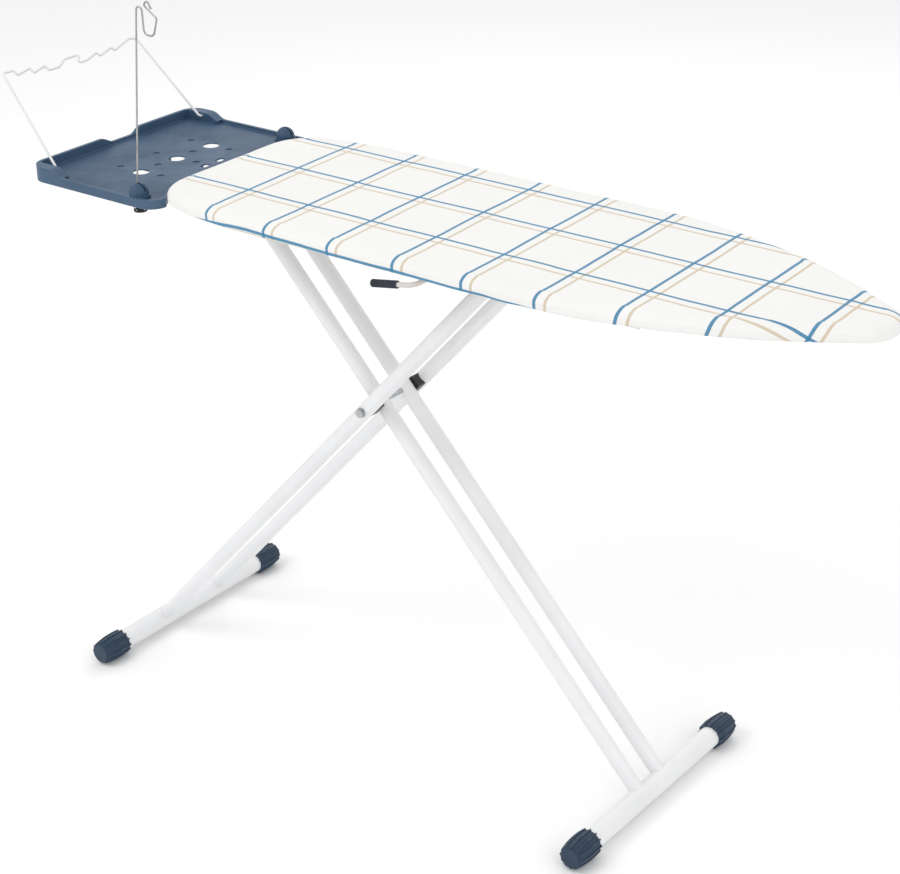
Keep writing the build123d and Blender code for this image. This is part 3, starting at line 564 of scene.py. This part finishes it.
white_coat = powder_coat("white_coat", (0.83, 0.835, 0.845), 0.38)
rack_coat = powder_coat("rack_coat", (0.74, 0.74, 0.75), 0.30)
lever_coat = powder_coat("lever_coat", (0.62, 0.59, 0.56), 0.34)
zinc = bare_metal("zinc", (0.50, 0.51, 0.52), 0.28, (1, 0.15, 1))
post_steel = bare_metal("post_steel", (0.42, 0.42, 0.41), 0.30, (1, 1, 0.1))
spring_wire = bare_metal("spring_wire", (0.40, 0.41, 0.42), 0.32, (1, 1, 0.2))
blue_plastic = moulded("blue_plastic", (0.038, 0.080, 0.145), 0.44, 1500.0, (0.09, 0.15, 0.23))
cap_plastic = moulded("cap_plastic", (0.022, 0.044, 0.078), 0.46, 1300.0, (0.08, 0.12, 0.18))
grip_plastic = moulded("grip_plastic", (0.010, 0.014, 0.024), 0.50, 1300.0, (0.05, 0.06, 0.09))
black_plastic = moulded("black_plastic", (0.014, 0.015, 0.017), 0.46, 1200.0, (0.06, 0.06, 0.065))

by_slot = {"white_steel": white_coat, "zinc_steel": zinc, "spring_steel": spring_wire,
           "blue_plastic": blue_plastic, "black_plastic": black_plastic}
own = {"hanger_rack": rack_coat, "lever_rod": lever_coat, "cable_post": post_steel, "lever_grip": grip_plastic}
own.update({f"{end}_cap_{side}": cap_plastic for end in ("front", "rear") for side in ("near", "far")})
slot_of = {part["node"]: part["material_slot"] for part in frame["record"]["subparts"]}
for name, node in nodes.items():
    if name in ("cotton_cover", "foam_pad"):
        continue
    finish = own.get(name) or by_slot[slot_of[name]]
    if not node.data.materials:
        node.data.materials.append(finish)
    for i in range(len(node.material_slots)):
        node.material_slots[i].material = finish

for piece, finish in ((cover, cotton_material()), (stitches, thread_material()), (pad, foam_material())):
    piece.data.materials.append(finish)

# ---------------------------------------------------------------- floor, light and camera
FLOOR_HALF, FLOOR_CELLS, FLOOR_GAP = 9.0, 12, 0.0005
floor_mesh = bpy.data.meshes.new("floor")
work = bmesh.new()
bmesh.ops.create_grid(work, x_segments=FLOOR_CELLS, y_segments=FLOOR_CELLS, size=FLOOR_HALF)
work.to_mesh(floor_mesh)
work.free()
floor = bpy.data.objects.new("floor", floor_mesh)
bpy.context.scene.collection.objects.link(floor)
floor.location.z = cad_box[0][2] - FLOOR_GAP
floor_material, floor_tree, floor_shader, floor_at = shader("pale_floor", (0.93, 0.93, 0.93), 0.9)
floor_cloud = noise_of(floor_tree, floor_at, 1.2, 3.0)
floor_tone = mix(floor_tree, floor_cloud, (0.935, 0.935, 0.935), (0.925, 0.925, 0.925))
floor_tree.links.new(floor_tone, floor_shader.inputs["Base Color"])
floor_mesh.materials.append(floor_material)

world = bpy.data.worlds.new("studio")
bpy.context.scene.world = world
world.use_nodes = True
sky = world.node_tree.nodes["Background"]
sky.inputs["Color"].default_value = (1.0, 1.0, 1.0, 1)
sky.inputs["Strength"].default_value = 0.94


def area_light(name, at, aim, size, power):
    """Square soft box that faces a point."""
    data = bpy.data.lights.new(name, "AREA")
    data.size = size
    data.energy = power
    light = bpy.data.objects.new(name, data)
    light.location = at
    light.rotation_euler = (Vector(aim) - Vector(at)).to_track_quat("-Z", "Y").to_euler()
    bpy.context.scene.collection.objects.link(light)


area_light("key", (-1.6, -2.6, 3.6), (0.1, 0.0, 0.7), 2.2, 40)
area_light("fill", (3.2, -1.2, 2.2), (0.2, 0.0, 0.6), 2.6, 16)
area_light("back", (-1.5, 3.2, 2.8), (0.0, 0.0, 0.8), 2.4, 20)

AZIMUTH, ELEVATION, ROLL = radians(37.91), radians(25.832), radians(-1.19)
CAMERA_FROM_EDGE = (2374.96, -2458.28, 1121.04)      # mm from the rear edge and the ironing surface
LENS, SENSOR = 85.30, 36.0
back = Vector((sin(AZIMUTH) * cos(ELEVATION), -cos(AZIMUTH) * cos(ELEVATION), sin(ELEVATION)))
right = Vector((cos(AZIMUTH), sin(AZIMUTH), 0))
up = back.cross(right)
axis_x = right * cos(ROLL) + up * sin(ROLL)
axis_y = up * cos(ROLL) - right * sin(ROLL)
camera_data = bpy.data.cameras.new("camera")
camera_data.lens = LENS
camera_data.sensor_width = SENSOR
camera_data.sensor_fit = "HORIZONTAL"
camera_data.clip_end = 60.0
camera = bpy.data.objects.new("camera", camera_data)
bpy.context.scene.collection.objects.link(camera)
turn = Matrix((axis_x, axis_y, back)).transposed().to_4x4()
camera.matrix_world = Matrix.Translation(place(*CAMERA_FROM_EDGE)) @ turn
bpy.context.scene.camera = camera
bpy.context.scene.view_settings.view_transform = "Standard"
bpy.context.scene.view_settings.look = "None"

bpy.context.view_layer.update()
